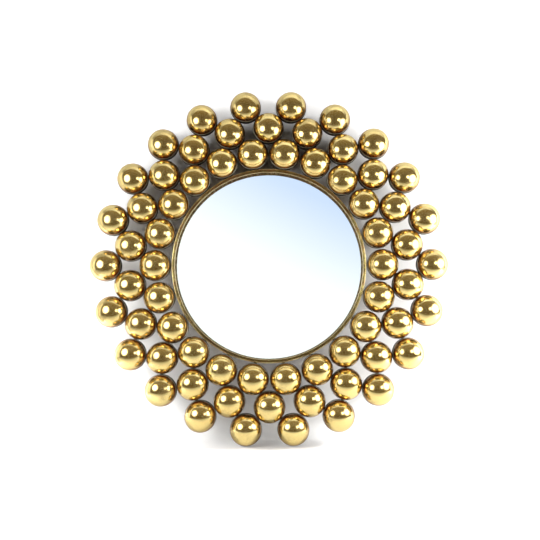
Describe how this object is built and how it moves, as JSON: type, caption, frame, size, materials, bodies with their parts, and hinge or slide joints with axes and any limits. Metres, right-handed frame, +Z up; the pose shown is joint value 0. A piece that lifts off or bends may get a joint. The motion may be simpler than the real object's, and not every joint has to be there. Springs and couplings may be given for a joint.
{
  "type": "girandole mirror",
  "caption": "Round wall mirror in a slim aged-brass hoop, ringed by staggered rows of polished brass balls, hung from a D-ring on its backing board.",
  "frame": {"origin": "the mirror's centre, on the wall plane that the bumpers touch", "axes": "+Z up, +X to the right seen from the front, the glass faces -Y and the wall is at +Y"},
  "size_m": [0.576, 0.0527, 0.5708],
  "materials": {
    "ball_brass": "mirror polished",
    "aged_brass": "aged and lightly hammered",
    "braze": "dark, as brazed",
    "mirror": "polished",
    "card": "matte",
    "board": "raw fibreboard",
    "steel": "zinc plated",
    "bumper_rubber": "matte"
  },
  "bodies": {
    "root": {"rim_hoop": "aged_brass", "mirror_glass": "mirror", "card_sheet": "card", "backing_board": "board", "turn_button_screws": "steel", "hanger_strap": "steel", "hanger_screws": "steel", "bumper_screws": "steel", "rim_studs": "braze", "inner_link_pins": "braze", "outer_link_pins": "braze", "ball_trio_01": "ball_brass", "ball_trio_02": "ball_brass", "ball_trio_03": "ball_brass", "ball_trio_04": "ball_brass", "ball_trio_05": "ball_brass", "ball_trio_06": "ball_brass", "ball_trio_07": "ball_brass", "ball_trio_08": "ball_brass", "ball_trio_09": "ball_brass", "ball_trio_10": "ball_brass", "ball_trio_11": "ball_brass", "ball_trio_12": "ball_brass", "ball_trio_13": "ball_brass", "ball_trio_14": "ball_brass", "ball_trio_15": "ball_brass", "ball_trio_16": "ball_brass", "ball_trio_17": "ball_brass", "ball_trio_18": "ball_brass", "ball_trio_19": "ball_brass", "ball_trio_20": "ball_brass", "ball_trio_21": "ball_brass", "ball_trio_22": "ball_brass", "wall_bumper_1": "bumper_rubber", "wall_bumper_2": "bumper_rubber", "wall_bumper_3": "bumper_rubber", "wall_bumper_4": "bumper_rubber"},
    "hanger_ring": {"hanger_ring": "steel"},
    "turn_button_1": {"turn_button_1": "steel"},
    "turn_button_2": {"turn_button_2": "steel"},
    "turn_button_3": {"turn_button_3": "steel"},
    "turn_button_4": {"turn_button_4": "steel"}
  },
  "joints": [
    {"name": "hanger_ring_swing", "type": "hinge", "parent": "root", "child": "hanger_ring", "pos_m": [0, -0.00674, 0.09005], "axis": [-1, 0, 0], "range_deg": [0, 170]},
    {"name": "turn_button_1_turn", "type": "hinge", "parent": "root", "child": "turn_button_1", "pos_m": [0.09797, -0.0092, 0.09797], "axis": [0, 1, 0], "continuous": true},
    {"name": "turn_button_2_turn", "type": "hinge", "parent": "root", "child": "turn_button_2", "pos_m": [-0.09797, -0.0092, 0.09797], "axis": [0, 1, 0], "continuous": true},
    {"name": "turn_button_3_turn", "type": "hinge", "parent": "root", "child": "turn_button_3", "pos_m": [-0.09797, -0.0092, -0.09797], "axis": [0, 1, 0], "continuous": true},
    {"name": "turn_button_4_turn", "type": "hinge", "parent": "root", "child": "turn_button_4", "pos_m": [0.09797, -0.0092, -0.09797], "axis": [0, 1, 0], "continuous": true}
  ]
}
